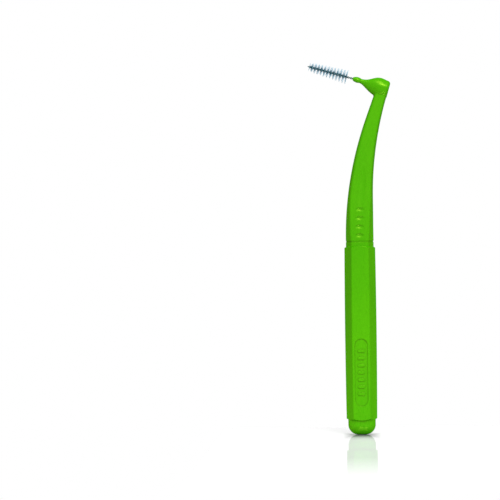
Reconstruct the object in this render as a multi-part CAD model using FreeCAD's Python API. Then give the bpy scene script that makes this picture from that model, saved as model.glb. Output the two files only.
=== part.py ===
import FreeCAD, Part
import math
import os

# Interdental brush with an angled head: grip cap, handle, twisted wire and bristle rows.
# Millimetres. Origin on the cap's axis at the middle of its barrel, +Z up the handle.
# The brush points to -X and the thumb grooves face -Y and +Y.

V = FreeCAD.Vector

# grip cap: a hexagonal barrel that swells a little towards its middle
cap_length = 48.7
cap_half_width_mouth = 4.35
cap_half_width_foot = 4.33
cap_swell = 0.13
facet_run = 2.0
facet_angle = 60.0
cap_edge_radius = 0.35
end_cone_angle = 30.0
cap_floor = 1.2

# rounded nub on the cap's closed end
nub_length = 4.05
nub_step = 0.5
nub_flat = 0.15

# grip panel in the cap's front and back facets, with plain raised bars
panel_length = 18.9
panel_margin = 0.5
panel_depth = 0.2
panel_height = 13.4
bar_pitch = 2.0
bar_margin = 0.85
bar_width = 0.8
bar_corner_radius = 0.36

# push fit of the handle in the cap
lip_wall = 0.6
ridge_wall = 0.43
fit_clearance = 0.05
lip_depth = 2.2
spigot_length = 14.7
spigot_step = 0.4
spigot_end_gap = 0.3
spigot_lead = 0.35
cavity_step = 0.2
mouth_edge_radius = 0.7
mouth_side_radius = 0.4
least_radius = 0.15

# handle's outline above the mouth: each side goes straight, then bends back to the heel
neck_lean = 4.81
left_bend_start = 2.4
left_bend_end = 36.2
right_bend_start = 14.0
neck_half_width = 1.775
neck_half_depth = 1.5
neck_facet_angle = 76.0
neck_edge_radius = 0.55
neck_side_radius = 1.1
thumb_pad_length = 14.0
neck_sections = 12

# groove round the foot of the neck
seam_height = 1.28
seam_width = 0.4
seam_depth = 0.1

# thumb grooves and the long shallow dish above them, all lens-shaped
groove_count = 4
groove_first = 2.96
groove_pitch = 2.43
groove_half_length = 1.3
groove_half_width = 0.6
groove_depth = 0.25
dish_start = 10.6
dish_length = 12.0
dish_half_width = 1.05
dish_depth = 0.12
lens_run_out = 0.5

# head: sections one ahead of the other, from the heel to the waist of the nose
heel_height = 44.0
heel_proud = 0.06
nose_tilt = 16.0
heel_rise = 2.24
heel_drop = 2.84
heel_half_depth = 2.04
heel_radius = 0.9
crown_run = 2.1
crown_rise = 2.22
crown_drop = 3.3
crown_half_depth = 2.15
cheek_run = 2.2
cheek_rise = 1.95
cheek_drop = 2.75
cheek_half_depth = 1.85
throat_run = 2.1
throat_rise = 0.88
throat_drop = 1.62
throat_half_depth = 1.03
waist_run = 1.5
waist_rise = 0.58
waist_drop = 0.81
waist_half_depth = 0.64
waist_length = 0.2
crease_radius = 0.5

# ball at the end of the nose, with the head's tail inside it
ball_length = 2.4
ball_radius = 0.8
ball_setback = 1.15
ball_sink = 0.03
tail_run = 0.7
tail_rise = 0.5
tail_drop = 0.7
tail_half_depth = 0.53
nose_wall = 0.08

# wire: one wire folded double at the tip and twisted
strand_diameter = 0.25
twist_pitch = 1.82
bare_wire = 1.7
tip_wire = 0.08
fold_rise = 0.13
wire_seat = 5.0
wire_end_gap = 0.05
wire_seat_clearance = 0.01

# bristle rows, one to each half turn of the wire
row_count = 12
filament_width = 0.08
filament_gap = 0.02
pinch_clearance = 0.005
bristle_radius_root = 2.05
bristle_radius_tip = 1.35

# how far a cut runs past the surface, and how close counts as touching
cut_margin = 1.0
touch = 0.001

# heights and sizes worked out from the ones above
mouth_z = cap_length / 2
foot_z = -cap_length / 2
shoulder_z = mouth_z - lip_depth
spigot_end_z = mouth_z - spigot_length
bore_floor_z = spigot_end_z - spigot_end_gap
cavity_floor_z = foot_z + cap_floor
nub_end_z = foot_z - nub_length
cap_half_depth = facet_run * math.tan(math.radians(facet_angle))
cap_half_width_middle = (cap_half_width_mouth + cap_half_width_foot) / 2 + cap_swell
mouth_half_width = cap_half_width_mouth - ridge_wall - fit_clearance
mouth_half_depth = cap_half_depth - lip_wall - fit_clearance
crown_at = crown_run
cheek_at = crown_at + cheek_run
throat_at = cheek_at + throat_run
waist_at = throat_at + waist_run
ball_at = waist_at + waist_length
nose_reach = ball_at + ball_length
strand_offset = strand_diameter / 2 + filament_width / 2 + pinch_clearance
seat_radius = strand_offset + strand_diameter / 2 + wire_seat_clearance
row_length = twist_pitch / 2
wire_reach = bare_wire + row_count * row_length + tip_wire


def rounded_polygon(points, radii):
    # closed wire of straight sides with an arc at each corner
    count = len(points)
    ends = []
    arcs = []
    for i in range(count):
        corner = points[i]
        back = (points[i - 1] - corner).normalize()
        ahead = (points[(i + 1) % count] - corner).normalize()
        half = back.getAngle(ahead) / 2
        run = radii[i] / math.tan(half)
        inward = (back + ahead).normalize()
        middle = corner + inward * (radii[i] / math.sin(half) - radii[i])
        start = corner + back * run
        end = corner + ahead * run
        ends.append((start, end))
        arcs.append(Part.Arc(start, middle, end).toShape())
    edges = []
    for i in range(count):
        edges.append(arcs[i])
        edges.append(Part.makeLine(ends[i][1], ends[(i + 1) % count][0]))
    return Part.Wire(edges)


def hexagon_corners(z, centre, ridge, flat, half_depth):
    return [
        V(centre + ridge, 0, z),
        V(centre + flat, half_depth, z),
        V(centre - flat, half_depth, z),
        V(centre - ridge, 0, z),
        V(centre - flat, -half_depth, z),
        V(centre + flat, -half_depth, z),
    ]


def hexagon(z, centre, half_width, half_depth, angle, edge_radius, side_radius):
    # six-sided section with flat front and back and a rounded ridge on each side
    slope = math.radians(angle)
    ridge = half_width + side_radius * (1 / math.sin(slope) - 1)
    flat = ridge - half_depth / math.tan(slope)
    radii = [side_radius, edge_radius, edge_radius] * 2
    return rounded_polygon(hexagon_corners(z, centre, ridge, flat, half_depth), radii)


def mouth_section(z, grow):
    # section of the push fit, grown or shrunk evenly
    edge = max(mouth_edge_radius + grow, least_radius)
    side = max(mouth_side_radius + grow, least_radius)
    return hexagon(z, 0, mouth_half_width + grow, mouth_half_depth + grow, facet_angle, edge, side)


def prism(wire, top_z):
    return Part.Face(wire).extrude(V(0, 0, top_z - wire.Vertexes[0].Z))


# handle's outline

def right_edge(h):
    # X of the right outline at height h above the mouth: a parabola up to the heel
    run = max(h - right_bend_start, 0)
    return mouth_half_width + neck_lean * (run / (heel_height - right_bend_start))**2


def left_edge(h):
    # X of the left outline: a parabola, then its tangent up to the neck's slim end
    bend = left_bend_end - left_bend_start
    run = min(max(h - left_bend_start, 0), bend)
    straight = max(h - left_bend_end, 0)
    shift = 2 * mouth_half_width + neck_lean - 2 * neck_half_width
    full = bend * (bend + 2 * (heel_height - left_bend_end))
    return shift * run * (run + 2 * straight) / full - mouth_half_width


def half_width(h):
    return (right_edge(h) - left_edge(h)) / 2


def half_depth(h):
    # depth shrinks in step with width
    share = (half_width(h) - neck_half_width) / (mouth_half_width - neck_half_width)
    return neck_half_depth + (mouth_half_depth - neck_half_depth) * share


def centre_line(h):
    return (left_edge(h) + right_edge(h)) / 2


def neck_section(h, grow=0):
    # six-sided at the mouth; the side facets steepen over the length of the thumb pad
    pad = min(h / thumb_pad_length, 1)
    angle = facet_angle + (neck_facet_angle - facet_angle) * pad
    edge = mouth_edge_radius + (neck_edge_radius - mouth_edge_radius) * pad + grow
    side = mouth_side_radius + (neck_side_radius - mouth_side_radius) * pad + grow
    return hexagon(mouth_z + h, centre_line(h), half_width(h) + grow, half_depth(h) + grow, angle, edge, side)


# frame of the head: heel on the back plane, forward to the nose, up across it
tilt = math.radians(nose_tilt)
heel = V(right_edge(heel_height) + heel_proud, 0, mouth_z + heel_height)
forward = V(-math.cos(tilt), 0, math.sin(tilt))
upward = V(math.sin(tilt), 0, math.cos(tilt))
sideways = V(0, 1, 0)
nose_tip = heel + forward * nose_reach


def on_nose(ahead, side, up):
    return heel + forward * ahead + sideways * side + upward * up


def egg(ahead, rise, drop, depth):
    # closed section across the nose: half an ellipse above the axis and half below
    quarters = [
        ((depth, 0), (depth, rise), (0, rise)),
        ((0, rise), (-depth, rise), (-depth, 0)),
        ((-depth, 0), (-depth, -drop), (0, -drop)),
        ((0, -drop), (depth, -drop), (depth, 0)),
    ]
    edges = []
    for poles in quarters:
        curve = Part.BezierCurve()
        curve.setPoles([on_nose(ahead, *pole) for pole in poles])
        curve.setWeight(2, math.sqrt(0.5))
        edges.append(curve.toShape())
    return Part.Wire(edges)


# grip cap

def make_barrel():
    # six long edges, each a shallow arc, with flat front and back faces between them
    levels = [(cap_half_width_foot, foot_z), (cap_half_width_middle, 0), (cap_half_width_mouth, mouth_z)]
    low, mid, top = [hexagon_corners(z, 0, w, w - facet_run, cap_half_depth) for w, z in levels]
    ridges = [Part.Arc(low[i], mid[i], top[i]).toShape() for i in range(6)]
    faces = [Part.Face(Part.makePolygon(end + [end[0]])) for end in (low, top)]
    for i in range(6):
        j = (i + 1) % 6
        if low[i].y == low[j].y:
            sides = [ridges[i], Part.makeLine(top[i], top[j]), ridges[j], Part.makeLine(low[j], low[i])]
            faces.append(Part.Face(Part.Wire(Part.__sortEdges__(sides))))
        else:
            faces.append(Part.makeRuledSurface(ridges[i], ridges[j]))
    shell = Part.makeShell(faces)
    shell.sewShape()
    barrel = Part.makeSolid(Part.Shell(shell.Faces))
    if barrel.Volume < 0:
        barrel.reverse()
    long_edges = [e for e in barrel.Edges if e.BoundBox.ZLength > cap_length / 2]
    return barrel.makeFillet(cap_edge_radius, long_edges)


def end_cones():
    # what the barrel is turned down to: a cylinder with a shallow cone at each end
    reach = cap_half_width_middle + cut_margin
    fall = (reach - cap_half_depth) * math.tan(math.radians(end_cone_angle))
    outline = Part.makePolygon([
        V(0, 0, foot_z),
        V(cap_half_depth, 0, foot_z),
        V(reach, 0, foot_z + fall),
        V(reach, 0, mouth_z - fall),
        V(cap_half_depth, 0, mouth_z),
        V(0, 0, mouth_z),
        V(0, 0, foot_z),
    ])
    return Part.Face(outline).revolve(V(0, 0, 0), V(0, 0, 1), 360)


def make_nub():
    # round-sided peg whose end is rounded off to a narrow flat
    wide = cap_half_width_foot - nub_step
    deep = cap_half_depth - nub_step
    flat = wide - deep
    z = nub_end_z
    section = Part.Wire([
        Part.Arc(V(flat, -deep, z), V(wide, 0, z), V(flat, deep, z)).toShape(),
        Part.makeLine(V(flat, deep, z), V(-flat, deep, z)),
        Part.Arc(V(-flat, deep, z), V(-wide, 0, z), V(-flat, -deep, z)).toShape(),
        Part.makeLine(V(-flat, -deep, z), V(flat, -deep, z)),
    ])
    nub = prism(section, cavity_floor_z)
    rim = [e for e in nub.Edges if e.BoundBox.ZMax < foot_z - nub_length / 2]
    return nub.makeFillet(deep - nub_flat, rim)


def make_hollow():
    # lip, bore for the spigot and the space below it
    lip = prism(mouth_section(shoulder_z, fit_clearance), mouth_z + cut_margin)
    bore = prism(mouth_section(bore_floor_z, fit_clearance - spigot_step), shoulder_z)
    cavity = prism(mouth_section(cavity_floor_z, -spigot_step - cavity_step), bore_floor_z)
    return lip.fuse([bore, cavity])


def slot_outline(length, width, y, z):
    # upright slot with round ends in the plane of a facet
    r = width / 2
    low = z - length / 2 + r
    high = z + length / 2 - r
    return Part.Wire([
        Part.makeLine(V(r, y, low), V(r, y, high)),
        Part.Arc(V(r, y, high), V(0, y, high + r), V(-r, y, high)).toShape(),
        Part.makeLine(V(-r, y, high), V(-r, y, low)),
        Part.Arc(V(-r, y, low), V(0, y, low - r), V(r, y, low)).toShape(),
    ])


def panel_cut(face):
    # what is taken out of one facet: the recess without its bars
    width = 2 * (cap_half_width_foot - facet_run - panel_margin)
    centre = foot_z + panel_height
    y = face * (cap_half_depth - panel_depth)
    depth = V(0, face * (panel_depth + cut_margin), 0)
    recess = Part.Face(slot_outline(panel_length, width, y, centre)).extrude(depth)
    bar_count = int((panel_length - width) / bar_pitch)
    x = width / 2 - bar_margin
    bars = []
    for i in range(bar_count):
        middle = centre + (i - (bar_count - 1) / 2) * bar_pitch
        low = middle - bar_width / 2
        high = middle + bar_width / 2
        corners = [V(-x, y, low), V(x, y, low), V(x, y, high), V(-x, y, high)]
        bars.append(Part.Face(rounded_polygon(corners, [bar_corner_radius] * 4)).extrude(depth))
    return recess.cut(bars)


def make_cap():
    cap = make_barrel().common(end_cones())
    cap = cap.fuse(make_nub()).removeSplitter()
    return cap.cut([make_hollow(), panel_cut(-1), panel_cut(1)])


# handle

def make_spigot():
    # collar in the cap's lip, then the narrower spigot with a tapered lead
    lead_z = spigot_end_z + spigot_lead
    collar = prism(mouth_section(shoulder_z, 0), mouth_z)
    spigot = prism(mouth_section(lead_z, -spigot_step), shoulder_z)
    lead_end = mouth_section(spigot_end_z, -spigot_step - spigot_lead)
    lead = Part.makeLoft([lead_end, mouth_section(lead_z, -spigot_step)], True, True)
    return [collar, spigot, lead]


def make_head():
    # fullest a little ahead of the heel, slim behind the ball
    head = Part.makeLoft([
        egg(0, heel_rise, heel_drop, heel_half_depth),
        egg(crown_at, crown_rise, crown_drop, crown_half_depth),
        egg(cheek_at, cheek_rise, cheek_drop, cheek_half_depth),
        egg(throat_at, throat_rise, throat_drop, throat_half_depth),
        egg(waist_at, waist_rise, waist_drop, waist_half_depth),
        egg(ball_at + tail_run, tail_rise, tail_drop, tail_half_depth),
    ], True)
    back = [e for e in head.Edges if all(abs((v.Point - heel).dot(forward)) < touch for v in e.Vertexes)]
    return head.makeFillet(heel_radius, back)


def make_ball():
    # swelling turned about the wire's axis
    rim = on_nose(nose_reach, 0, seat_radius + nose_wall)
    crown = on_nose(nose_reach - ball_setback, 0, ball_radius)
    neck = on_nose(ball_at, 0, waist_rise - ball_sink)
    inside = on_nose(ball_at - waist_rise, 0, 0)
    profile = Part.Wire([
        Part.makeLine(nose_tip, rim),
        Part.Arc(rim, crown, neck).toShape(),
        Part.makeLine(neck, inside),
        Part.makeLine(inside, nose_tip),
    ])
    return Part.Face(profile).revolve(heel, forward, 360)


def lies_on(edge, shell):
    middle = edge.valueAt((edge.FirstParameter + edge.LastParameter) / 2)
    return shell.distToShape(Part.Vertex(middle))[0] < touch


def seam_cut():
    # ring taken out round the foot of the neck
    low = seam_height - seam_width / 2
    top_z = mouth_z + low + seam_width
    return prism(neck_section(low, cut_margin), top_z).cut(prism(neck_section(low, -seam_depth), top_z))


def lens_cut(start, end, outward, half_span, depth):
    # barrel that cuts a groove from start to end of a flat, widest and deepest in its middle
    along = (end - start).normalize()
    half_length = start.distanceToPoint(end) / 2
    reach = half_length + lens_run_out
    radius = (half_span**2 + depth**2) / (2 * depth)
    bow = (half_length**2 + depth**2) / (2 * depth)
    thin = radius - bow + math.sqrt(bow**2 - reach**2)
    axis = (start + end) * 0.5 + outward * (radius - depth)
    low = axis - along * reach
    high = axis + along * reach
    profile = Part.Wire([
        Part.Arc(low - outward * thin, axis - outward * radius, high - outward * thin).toShape(),
        Part.makeLine(high - outward * thin, high),
        Part.makeLine(high, low),
        Part.makeLine(low, low - outward * thin),
    ])
    return Part.Face(profile).revolve(axis, along, 360)


def on_flat(face, side, h):
    # point of the neck's front or back flat, beside its centre line
    return V(centre_line(h) + side, face * half_depth(h), mouth_z + h)


def thumb_cuts(face):
    # the row of grooves and the dish on one flat
    cuts = []
    for i in range(groove_count):
        h = groove_first + i * groove_pitch
        left = on_flat(face, -groove_half_length, h)
        right = on_flat(face, groove_half_length, h)
        cuts.append(lens_cut(left, right, V(0, face, 0), groove_half_width, groove_depth))
    foot = on_flat(face, 0, dish_start)
    top = on_flat(face, 0, dish_start + dish_length)
    outward = (top - foot).cross(V(face, 0, 0)).normalize()
    cuts.append(lens_cut(foot, top, outward, dish_half_width, dish_depth))
    return cuts


def make_handle():
    steps = neck_sections - 1
    neck = Part.makeLoft([neck_section(heel_height * i / steps) for i in range(neck_sections)], True)
    head = make_head()
    body = neck.fuse(make_spigot() + [head, make_ball()]).removeSplitter()
    crease = [e for e in body.Edges if lies_on(e, neck.Shells[0]) and lies_on(e, head.Shells[0])]
    body = body.makeFillet(crease_radius, crease)
    seat_start = nose_tip - forward * wire_seat
    seat = Part.makeCylinder(seat_radius, wire_seat + cut_margin, seat_start, forward)
    return body.cut(thumb_cuts(-1) + thumb_cuts(1) + [seam_cut(), seat])


# wire and bristles

def twist_angle(q):
    # turn of the first strand at distance q from the nose tip
    return 2 * math.pi * (q - wire_reach) / twist_pitch


def spoke(angle):
    return sideways * math.cos(angle) + upward * math.sin(angle)


def strand_point(q, half_turn):
    return nose_tip + forward * q + spoke(twist_angle(q) + half_turn) * strand_offset


def strand_heading(q, half_turn):
    climb = twist_pitch / (2 * math.pi)
    turn = spoke(twist_angle(q) + half_turn + math.pi / 2)
    return (forward * climb + turn * strand_offset).normalize()


def arc_in_corner(start, corner, end):
    # circular arc touching both legs of a corner with equal legs
    weight = (end - start).Length / 2 / (corner - start).Length
    middle = (start + corner * (2 * weight) + end) * (1 / (2 + 2 * weight))
    return Part.Arc(start, middle, end).toShape()


def biarc(start, heading_start, end, heading_end):
    # two arcs that leave and arrive along the headings and meet smoothly
    span = end - start
    both = heading_start + heading_end
    a = both.dot(both) - 4
    b = -2 * span.dot(both)
    c = span.dot(span)
    leg = (-b - math.sqrt(b * b - 4 * a * c)) / (2 * a)
    first = start + heading_start * leg
    second = end - heading_end * leg
    meet = (first + second) * 0.5
    return [arc_in_corner(start, first, meet), arc_in_corner(meet, second, end)]


def make_wire():
    # up one strand, over the fold at the tip and back down the other, in quarter turns
    low = wire_end_gap - wire_seat
    quarters = math.ceil((wire_reach - low) / (twist_pitch / 4))
    marks = [low + (wire_reach - low) * i / quarters for i in range(quarters + 1)]
    fold = nose_tip + forward * (wire_reach + strand_offset + fold_rise)
    path = [(strand_point(q, 0), strand_heading(q, 0)) for q in marks]
    path.append((fold, spoke(twist_angle(wire_reach)) * -1))
    path += [(strand_point(q, math.pi), strand_heading(q, math.pi) * -1) for q in reversed(marks)]
    edges = []
    for i in range(len(path) - 1):
        edges += biarc(*path[i], *path[i + 1])
    circle = Part.Circle(*path[0], strand_diameter / 2)
    return Part.Wire(edges).makePipeShell([Part.Wire(circle.toShape())], True, False)


def make_filament(q, radius):
    # straight six-sided filament through the gap between the strands, square to the wire
    along = spoke(twist_angle(q) + math.pi / 2)
    across = spoke(twist_angle(q))
    start = nose_tip + forward * q - along * radius
    corner = filament_width / math.sqrt(3)
    ring = []
    for i in range(6):
        angle = math.pi / 6 + i * math.pi / 3
        ring.append(start + across * (corner * math.cos(angle)) + forward * (corner * math.sin(angle)))
    return Part.Face(Part.makePolygon(ring + [ring[0]])).extrude(along * (2 * radius))


def make_row(row):
    # the filaments of one half turn of the wire, shorter towards the tip
    count = int(row_length / (2 * filament_width / math.sqrt(3) + filament_gap))
    spacing = row_length / count
    filaments = []
    for i in range(count):
        run = row * row_length + (i + 0.5) * spacing
        share = run / (row_count * row_length)
        radius = bristle_radius_root + (bristle_radius_tip - bristle_radius_root) * share
        filaments.append(make_filament(bare_wire + run, radius))
    return Part.makeCompound(filaments)


nodes = {"grip_cap": make_cap(), "handle": make_handle(), "wire_stem": make_wire()}
for row in range(row_count):
    nodes["bristle_row_%02d" % (row + 1)] = make_row(row)

os.makedirs("parts", exist_ok=True)
for name, shape in nodes.items():
    shape.exportStep("parts/%s.step" % name)
    print(name, "solids", len(shape.Solids), "valid", shape.isValid(), "volume %.3f" % shape.Volume)
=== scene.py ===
import bpy
import math
import random
from mathutils import Matrix, Vector


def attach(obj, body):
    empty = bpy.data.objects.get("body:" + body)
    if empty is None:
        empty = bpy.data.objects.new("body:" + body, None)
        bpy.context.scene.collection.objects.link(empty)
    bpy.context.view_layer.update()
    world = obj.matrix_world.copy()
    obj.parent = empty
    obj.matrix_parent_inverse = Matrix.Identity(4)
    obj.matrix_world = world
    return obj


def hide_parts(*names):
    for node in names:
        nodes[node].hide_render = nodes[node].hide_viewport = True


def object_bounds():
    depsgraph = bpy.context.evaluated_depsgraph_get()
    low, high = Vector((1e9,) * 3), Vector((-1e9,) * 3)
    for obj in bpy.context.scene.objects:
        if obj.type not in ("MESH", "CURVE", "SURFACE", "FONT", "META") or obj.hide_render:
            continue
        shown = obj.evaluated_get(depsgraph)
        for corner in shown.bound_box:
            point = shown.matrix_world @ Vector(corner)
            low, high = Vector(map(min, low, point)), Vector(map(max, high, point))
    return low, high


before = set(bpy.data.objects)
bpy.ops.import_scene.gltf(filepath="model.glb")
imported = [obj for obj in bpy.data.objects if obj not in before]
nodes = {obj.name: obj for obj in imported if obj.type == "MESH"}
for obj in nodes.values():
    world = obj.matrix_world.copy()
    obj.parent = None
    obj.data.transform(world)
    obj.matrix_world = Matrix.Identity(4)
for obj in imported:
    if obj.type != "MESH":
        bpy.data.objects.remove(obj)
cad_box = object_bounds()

# Interdental brush with an angled head, standing on a pale glossy floor. Metres.

# how the picture is taken: its width at the object, its middle, and the object's lean
PICTURE_WIDTH = 0.140
PICTURE_MIDDLE_X = -0.03076
PICTURE_MIDDLE_Z = 0.02365
CAMERA_DISTANCE = 1.0
OBJECT_LEAN = math.radians(0.739)
SENSOR_WIDTH = 36.0

# colours as linear light
GREEN_LIGHT = (0.060, 0.410, 0.0003, 1)
GREEN_DEEP = (0.040, 0.362, 0.0003, 1)
GREEN_SHEEN = (0.70, 1.00, 0.08, 1)
STEEL_LIGHT = (0.090, 0.175, 0.185, 1)
STEEL_DARK = (0.042, 0.098, 0.110, 1)
NYLON_TIP = (0.37, 0.68, 0.82, 1)
# painted shade of the tuft's core, near the wire
NYLON_ROOT_PAINTED_SHADE = (0.09, 0.28, 0.38, 1)
NYLON_STREAK = (0.56, 0.82, 0.92, 1)
FLOOR_WHITE = (0.70, 0.70, 0.70, 1)
# the floor's colour under the painted contact shadow
FLOOR_PAINTED_SHADOW = (0.27, 0.27, 0.27, 1)
WHITE = (1, 1, 1, 1)
BLACK = (0, 0, 0, 1)

# plastic: scales are cells per metre, and the flow draws the pattern out along the handle
CLOUD_SCALE = 90
GRAIN_SCALE = 1400
FLOW_STRETCH = (1, 1, 0.3)
PLASTIC_ROUGHNESS = (0.25, 0.33)
POLISH_SHARE = 0.052
GRAIN_STRENGTH = 0.02
GRAIN_DEPTH = 0.00002
# painted shade in the plastic's grooves and corners: how far occlusion is sought, and how dark it paints
# them
GROOVE_PAINTED_SHADE_REACH = 0.0015
GROOVE_PAINTED_SHADE = 0.32
CAP_EDGE_RADIUS = 0.00012
HANDLE_EDGE_RADIUS = 0.00005

# wire
SCRATCH_SCALE = 2500
SCRATCH_STRETCH = (0.2, 1, 1)
STEEL_ROUGHNESS = (0.30, 0.45)
STEEL_METALLIC = 0.8
SCRATCH_STRENGTH = 0.1
SCRATCH_DEPTH = 0.00001

# filaments: the painted shade at the roots fades out between two shares of the row's reach
STREAK_SCALE = 1800
NYLON_ROUGHNESS = (0.30, 0.45)
NYLON_CLEARNESS = 0.4
ROOT_PAINTED_SHADE_SPAN = (0.18, 0.55)

# the world's soft glow, weaker from below and stronger from behind, and the floor's own glow;
# 1 is white, and the spans are heights and depths of a unit direction
AMBIENT_ABOVE = 0.48
AMBIENT_BELOW = 0.20
AMBIENT_SPAN = (-0.4, 0.3)
BACKDROP_LIGHT = 1.5
BACKDROP_SPAN = (0.0, 0.6)
FLOOR_GLOW = 0.52
FLOOR_GLOW_FRONT = 0.30

# filaments of one row, which is half a turn of the wire
FILAMENTS_IN_ROW = 25
FILAMENT_SIDES = 5
FILAMENT_STATIONS = (-1.0, -0.75, -0.4, 0.0, 0.4, 0.75, 1.0)
FILAMENT_ROOT_RADIUS = 0.000028
FILAMENT_TIP_RADIUS = 0.000018
FILAMENT_BEND = 0.00015
FILAMENT_LENGTHS = (0.90, 1.00)
FILAMENT_JITTER = (0.2, 0.8)
LAST_ROW_LENGTH = 0.91
LAST_ROW_BEND = 0.00005
TIP_WIRE = 0.00008

rows = sorted(name for name in nodes if name.startswith("bristle_row"))
floor_z = cad_box[0].z


# camera

def add_camera():
    scene = bpy.context.scene
    camera = bpy.data.objects.new("camera", bpy.data.cameras.new("camera"))
    scene.collection.objects.link(camera)
    pan = math.atan2(-PICTURE_MIDDLE_X, CAMERA_DISTANCE)
    place = Matrix.Translation((0, -CAMERA_DISTANCE, PICTURE_MIDDLE_Z))
    level = Matrix.Rotation(math.radians(90), 4, "X")
    roll = Matrix.Rotation(-OBJECT_LEAN, 4, "Z")
    camera.matrix_world = place @ Matrix.Rotation(pan, 4, "Z") @ level @ roll
    camera.data.sensor_width = SENSOR_WIDTH
    camera.data.lens = SENSOR_WIDTH * CAMERA_DISTANCE * math.cos(pan) / PICTURE_WIDTH
    scene.camera = camera


# node helpers

def add_node(tree, kind, **values):
    # a node with its named sockets or properties set
    node = tree.nodes.new(kind)
    for name, value in values.items():
        if name in node.inputs:
            node.inputs[name].default_value = value
        else:
            setattr(node, name, value)
    return node


def new_material(name):
    material = bpy.data.materials.new(name)
    material.use_nodes = True
    tree = material.node_tree
    return material, tree, tree.nodes["Principled BSDF"]


def noise(tree, scale, detail=2.0, stretch=(1, 1, 1)):
    # grain in the object's own space, scale in cells per metre
    place = add_node(tree, "ShaderNodeTexCoord")
    mapping = add_node(tree, "ShaderNodeMapping", Scale=stretch)
    grain = add_node(tree, "ShaderNodeTexNoise", Scale=scale, Detail=detail)
    tree.links.new(place.outputs["Object"], mapping.inputs["Vector"])
    tree.links.new(mapping.outputs["Vector"], grain.inputs["Vector"])
    return grain.outputs["Fac"]


def add_range(tree, value, start, end, low, high):
    # a value from start to end turned into one from low to high
    ramp = add_node(tree, "ShaderNodeMapRange")
    ramp.inputs["From Min"].default_value = start
    ramp.inputs["From Max"].default_value = end
    ramp.inputs["To Min"].default_value = low
    ramp.inputs["To Max"].default_value = high
    tree.links.new(value, ramp.inputs["Value"])
    return ramp.outputs["Result"]


def spread(tree, grain, low, high):
    # grain lies between about 0.3 and 0.7
    return add_range(tree, grain, 0.3, 0.7, low, high)


def combine(tree, operation, first, second):
    math_node = add_node(tree, "ShaderNodeMath", operation=operation)
    tree.links.new(first, math_node.inputs[0])
    tree.links.new(second, math_node.inputs[1])
    return math_node.outputs["Value"]


def background_rays(tree):
    # 1 for the rays that show the background: the camera's own, and those in shiny or clear pieces
    path = add_node(tree, "ShaderNodeLightPath")
    glossy = path.outputs["Is Glossy Ray"]
    mirrored = combine(tree, "MAXIMUM", glossy, path.outputs["Is Transmission Ray"])
    return combine(tree, "MAXIMUM", path.outputs["Is Camera Ray"], mirrored)


def two_tone(tree, factor, first, second):
    # each tone is a constant or another node's colour
    mix = add_node(tree, "ShaderNodeMix", data_type="RGBA")
    tones = [s for s in mix.inputs if s.type == "RGBA"]
    for socket, tone in zip(tones, (first, second)):
        if isinstance(tone, tuple):
            socket.default_value = tone
        else:
            tree.links.new(tone, socket)
    tree.links.new(factor, mix.inputs["Factor"])
    return [s for s in mix.outputs if s.type == "RGBA"][0]


def add_bump(tree, shader, height, strength, distance, edge_radius=0.0):
    # fine relief over edges that look rounded
    bump = add_node(tree, "ShaderNodeBump", Strength=strength, Distance=distance)
    tree.links.new(height, bump.inputs["Height"])
    tree.links.new(bump.outputs["Normal"], shader.inputs["Normal"])
    if edge_radius:
        bevel = add_node(tree, "ShaderNodeBevel", samples=6, Radius=edge_radius)
        tree.links.new(bevel.outputs["Normal"], bump.inputs["Normal"])


def show_mix(tree, mix, first, second):
    # the surface shows the first shader, and the second by the mix's factor
    tree.links.new(first.outputs["BSDF"], mix.inputs[1])
    tree.links.new(second.outputs["BSDF"], mix.inputs[2])
    tree.links.new(mix.outputs["Shader"], tree.nodes["Material Output"].inputs["Surface"])


# materials

def green_plastic(name, edge_radius):
    # moulded polypropylene: a cloudy green, darkened by painted shade in its grooves, with fine grain along
    # the flow and a tinted polish
    material, tree, shader = new_material(name)
    cloud = noise(tree, CLOUD_SCALE, 3, FLOW_STRETCH)
    grain = noise(tree, GRAIN_SCALE, 2, FLOW_STRETCH)
    colour = two_tone(tree, spread(tree, cloud, 0.0, 1.0), GREEN_DEEP, GREEN_LIGHT)
    # painted shade: the base colour darkens towards black where the piece's own grooves and corners occlude
    # it
    painted_shade_ao = add_node(tree, "ShaderNodeAmbientOcclusion", samples=12, only_local=True, Distance=GROOVE_PAINTED_SHADE_REACH)
    painted_shade = add_range(tree, painted_shade_ao.outputs["AO"], 0.5, 1.0, GROOVE_PAINTED_SHADE, 0.0)
    colour = two_tone(tree, painted_shade, colour, BLACK)
    tree.links.new(colour, shader.inputs["Base Color"])
    shader.inputs["Specular IOR Level"].default_value = 0.0
    polish = add_node(tree, "ShaderNodeBsdfGlossy", Color=GREEN_SHEEN)
    mix = add_node(tree, "ShaderNodeMixShader", Fac=POLISH_SHARE)
    roughness = spread(tree, grain, *PLASTIC_ROUGHNESS)
    for layer in (shader, polish):
        tree.links.new(roughness, layer.inputs["Roughness"])
        add_bump(tree, layer, grain, GRAIN_STRENGTH, GRAIN_DEPTH, edge_radius)
    show_mix(tree, mix, shader, polish)
    return material


def twisted_steel(name):
    # drawn wire with fine lengthwise scratches
    material, tree, shader = new_material(name)
    scratch = noise(tree, SCRATCH_SCALE, 3, SCRATCH_STRETCH)
    colour = two_tone(tree, spread(tree, scratch, 0.0, 1.0), STEEL_DARK, STEEL_LIGHT)
    tree.links.new(colour, shader.inputs["Base Color"])
    tree.links.new(spread(tree, scratch, *STEEL_ROUGHNESS), shader.inputs["Roughness"])
    add_bump(tree, shader, scratch, SCRATCH_STRENGTH, SCRATCH_DEPTH)
    shader.inputs["Metallic"].default_value = STEEL_METALLIC
    return material


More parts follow.
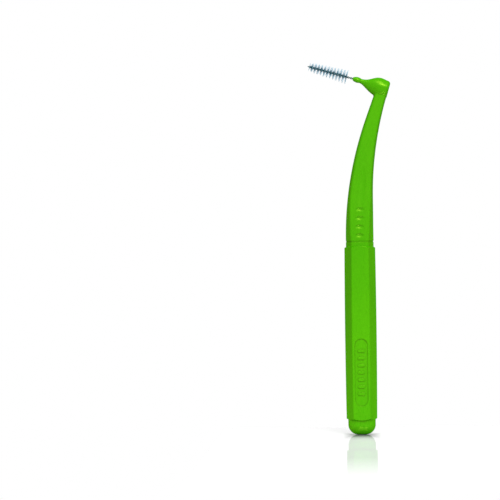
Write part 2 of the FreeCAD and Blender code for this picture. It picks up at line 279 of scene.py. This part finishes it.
def clear_nylon(name, on_wire, forward, reach):
    # pale filament that lets light through, darkened towards the wire by painted shade
    material, tree, shader = new_material(name)
    place = add_node(tree, "ShaderNodeTexCoord")
    offset = add_node(tree, "ShaderNodeVectorMath", operation="SUBTRACT")
    offset.inputs[1].default_value = on_wire
    across = add_node(tree, "ShaderNodeVectorMath", operation="CROSS_PRODUCT")
    across.inputs[1].default_value = forward
    distance = add_node(tree, "ShaderNodeVectorMath", operation="LENGTH")
    tree.links.new(place.outputs["Object"], offset.inputs[0])
    tree.links.new(offset.outputs["Vector"], across.inputs[0])
    tree.links.new(across.outputs["Vector"], distance.inputs[0])
    root_end, tip_start = (part * reach for part in ROOT_PAINTED_SHADE_SPAN)
    share = add_range(tree, distance.outputs["Value"], root_end, tip_start, 0.0, 1.0)
    streak = noise(tree, STREAK_SCALE)
    colour = two_tone(tree, spread(tree, streak, 0.0, 0.5), NYLON_TIP, NYLON_STREAK)
    # painted shade: the colour darkens towards the wire, inside the tuft
    colour = two_tone(tree, share, NYLON_ROOT_PAINTED_SHADE, colour)
    glow = add_node(tree, "ShaderNodeBsdfTranslucent")
    mix = add_node(tree, "ShaderNodeMixShader", Fac=NYLON_CLEARNESS)
    tree.links.new(colour, shader.inputs["Base Color"])
    tree.links.new(colour, glow.inputs["Color"])
    tree.links.new(spread(tree, streak, *NYLON_ROUGHNESS), shader.inputs["Roughness"])
    show_mix(tree, mix, shader, glow)
    return material


def paint(piece, material):
    piece.data.materials.clear()
    piece.data.materials.append(material)


# bristles: fine filaments in the place of each row's plain ones

def row_middle(name):
    # the plain filaments lie evenly round this point of the wire's axis
    points = [vertex.co for vertex in nodes[name].data.vertices]
    return sum(points, Vector()) / len(points)


def row_reach(name, forward):
    middle = row_middle(name)
    return max((vertex.co - middle).cross(forward).length for vertex in nodes[name].data.vertices)


def add_filament(points, faces, middle, along, side_a, side_b, reach, bends):
    # thin tube through the wire, finer and a little bent towards each end
    first = len(points)
    for station in FILAMENT_STATIONS:
        bend = bends[0 if station < 0 else 1] * station**2
        radius = FILAMENT_ROOT_RADIUS + (FILAMENT_TIP_RADIUS - FILAMENT_ROOT_RADIUS) * abs(station)
        centre = middle + along * (reach * station) + side_a * bend
        for i in range(FILAMENT_SIDES):
            angle = 2 * math.pi * i / FILAMENT_SIDES
            points.append(centre + (side_a * math.cos(angle) + side_b * math.sin(angle)) * radius)
    for ring in range(len(FILAMENT_STATIONS) - 1):
        start = first + ring * FILAMENT_SIDES
        for i in range(FILAMENT_SIDES):
            j = (i + 1) % FILAMENT_SIDES
            faces.append((start + i, start + j, start + FILAMENT_SIDES + j, start + FILAMENT_SIDES + i))
    last = len(points) - FILAMENT_SIDES
    faces.append(tuple(reversed(range(first, first + FILAMENT_SIDES))))
    faces.append(tuple(range(last, last + FILAMENT_SIDES)))


def add_bristles(name, forward, row_length, material):
    # filaments turn with the wire, whose twist is counted from its end, a little past the last row;
    # the last row is shorter and straighter, so that it stays inside the solids' box
    sideways = Vector((0, 1, 0))
    upward = sideways.cross(forward)
    middle = row_middle(name)
    reach = row_reach(name, forward)
    most_bend = FILAMENT_BEND
    if name == rows[-1]:
        reach *= LAST_ROW_LENGTH
        most_bend = LAST_ROW_BEND
    lag = math.pi * TIP_WIRE / row_length
    chance = random.Random(name)
    points = []
    faces = []
    for i in range(FILAMENTS_IN_ROW):
        share = (i + chance.uniform(*FILAMENT_JITTER)) / FILAMENTS_IN_ROW - 0.5
        angle = math.pi * share - lag
        along = sideways * math.cos(angle) + upward * math.sin(angle)
        length = reach * chance.uniform(*FILAMENT_LENGTHS)
        bends = [chance.uniform(-most_bend, most_bend) for end in range(2)]
        root = middle + forward * (share * row_length)
        add_filament(points, faces, root, along, forward, along.cross(forward), length, bends)
    mesh = bpy.data.meshes.new(name.replace("row", "tuft"))
    mesh.from_pydata(points, [], faces)
    mesh.polygons.foreach_set("use_smooth", [True] * len(faces))
    tuft = bpy.data.objects.new(mesh.name, mesh)
    bpy.context.scene.collection.objects.link(tuft)
    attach(tuft, "brush")
    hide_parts(name)
    paint(tuft, material)


# floor, light and background

def add_floor():
    # white, and glossy close to the object so that its mirror image fades out towards the camera
    side = 0.04
    front = -0.24
    back = 0.04
    mirror_end = -0.23
    mirror_full = -0.11
    mirror_share = 0.44
    # painted contact shadow: occlusion round the foot, limited to beside and in front of it, darkens the
    # floor's colour and glow
    shade_reach = 0.025
    shade_dark = 0.85
    shade_light = 0.99
    shade_full = 0.0025
    shade_end = 0.0054
    shade_back = 0.008
    outline = ((-side, front), (side, front), (side, back), (-side, back))
    mesh = bpy.data.meshes.new("floor")
    mesh.from_pydata([(x, y, floor_z) for x, y in outline], [], [(0, 1, 2, 3)])
    floor = bpy.data.objects.new("floor", mesh)
    bpy.context.scene.collection.objects.link(floor)
    material, tree, shader = new_material("floor_white")
    shader.inputs["Roughness"].default_value = 1.0
    shader.inputs["Specular IOR Level"].default_value = 0.0
    shader.inputs["Emission Color"].default_value = WHITE
    place = add_node(tree, "ShaderNodeTexCoord")
    split = add_node(tree, "ShaderNodeSeparateXYZ")
    tree.links.new(place.outputs["Object"], split.inputs["Vector"])
    aside = add_node(tree, "ShaderNodeMath", operation="ABSOLUTE")
    tree.links.new(split.outputs["X"], aside.inputs[0])
    # the painted contact shadow stays close round the foot and doesn't reach behind it
    painted_shade_ao = add_node(tree, "ShaderNodeAmbientOcclusion", samples=32, Distance=shade_reach)
    painted_shade = add_range(tree, painted_shade_ao.outputs["AO"], shade_dark, shade_light, 0.0, 1.0)
    beside = add_range(tree, aside.outputs["Value"], shade_full, shade_end, 0.0, 1.0)
    behind = add_range(tree, split.outputs["Y"], 0.0, shade_back, 0.0, 1.0)
    unshadowed_share = combine(tree, "MAXIMUM", painted_shade, combine(tree, "MAXIMUM", beside, behind))
    tree.links.new(two_tone(tree, unshadowed_share, FLOOR_PAINTED_SHADOW, FLOOR_WHITE), shader.inputs["Base Color"])
    # the floor's own glow is only shown, and lights nothing; it is dimmer towards the front and cut by the
    # painted contact shadow
    seen = combine(tree, "MULTIPLY", unshadowed_share, background_rays(tree))
    level = add_range(tree, split.outputs["Y"], mirror_end, 0.0, FLOOR_GLOW_FRONT, FLOOR_GLOW)
    glow = combine(tree, "MULTIPLY", seen, level)
    tree.links.new(glow, shader.inputs["Emission Strength"])
    gloss = add_node(tree, "ShaderNodeBsdfGlossy", Roughness=0.0)
    mix = add_node(tree, "ShaderNodeMixShader")
    fade = add_range(tree, split.outputs["Y"], mirror_end, mirror_full, 0.0, mirror_share)
    tree.links.new(fade, mix.inputs["Fac"])
    show_mix(tree, mix, shader, gloss)
    mesh.materials.append(material)


def add_world():
    # white to the camera and in shiny or clear pieces; otherwise the soft glow
    world = bpy.data.worlds.new("studio")
    bpy.context.scene.world = world
    world.use_nodes = True
    tree = world.node_tree
    tree.nodes.clear()
    seen = add_node(tree, "ShaderNodeBackground", Color=WHITE, Strength=1.0)
    light = add_node(tree, "ShaderNodeBackground", Color=WHITE)
    place = add_node(tree, "ShaderNodeTexCoord")
    split = add_node(tree, "ShaderNodeSeparateXYZ")
    mix = add_node(tree, "ShaderNodeMixShader")
    output = add_node(tree, "ShaderNodeOutputWorld")
    tree.links.new(place.outputs["Generated"], split.inputs["Vector"])
    soft = add_range(tree, split.outputs["Z"], *AMBIENT_SPAN, AMBIENT_BELOW, AMBIENT_ABOVE)
    behind = add_range(tree, split.outputs["Y"], *BACKDROP_SPAN, 1.0, BACKDROP_LIGHT)
    tree.links.new(combine(tree, "MULTIPLY", soft, behind), light.inputs["Strength"])
    tree.links.new(background_rays(tree), mix.inputs["Fac"])
    tree.links.new(light.outputs["Background"], mix.inputs[1])
    tree.links.new(seen.outputs["Background"], mix.inputs[2])
    tree.links.new(mix.outputs["Shader"], output.inputs["Surface"])


def add_softbox(name, place, aim_height, width, height, power):
    # aimed at a point of the handle's axis
    lamp = bpy.data.lights.new(name, "AREA")
    lamp.shape = "RECTANGLE"
    lamp.size = width
    lamp.size_y = height
    lamp.energy = power
    box = bpy.data.objects.new(name, lamp)
    bpy.context.scene.collection.objects.link(box)
    box.location = place
    aim = Vector((0, 0, aim_height))
    box.rotation_euler = (aim - Vector(place)).to_track_quat("-Z", "Y").to_euler()


add_camera()
add_world()
add_softbox("key_softbox", (0.17, -0.85, 0.50), aim_height=0.03, width=0.26, height=0.16, power=4.3)
add_softbox("top_softbox", (0.05, -0.60, 0.80), aim_height=0.03, width=0.60, height=0.46, power=4.0)
add_softbox("side_softbox", (0.80, -0.45, 0.25), aim_height=0.0, width=0.10, height=0.30, power=0.6)
add_floor()

paint(nodes["grip_cap"], green_plastic("cap_green", CAP_EDGE_RADIUS))
paint(nodes["handle"], green_plastic("handle_green", HANDLE_EDGE_RADIUS))
paint(nodes["wire_stem"], twisted_steel("wire_grey"))

wire_run = row_middle(rows[-1]) - row_middle(rows[0])
wire_forward = wire_run.normalized()
row_length = wire_run.length / (len(rows) - 1)
nylon = clear_nylon("filament_pale", row_middle(rows[0]), wire_forward, row_reach(rows[0], wire_forward))
for row in rows:
    add_bristles(row, wire_forward, row_length, nylon)

bpy.context.scene.view_settings.view_transform = "Standard"

bpy.context.view_layer.update()
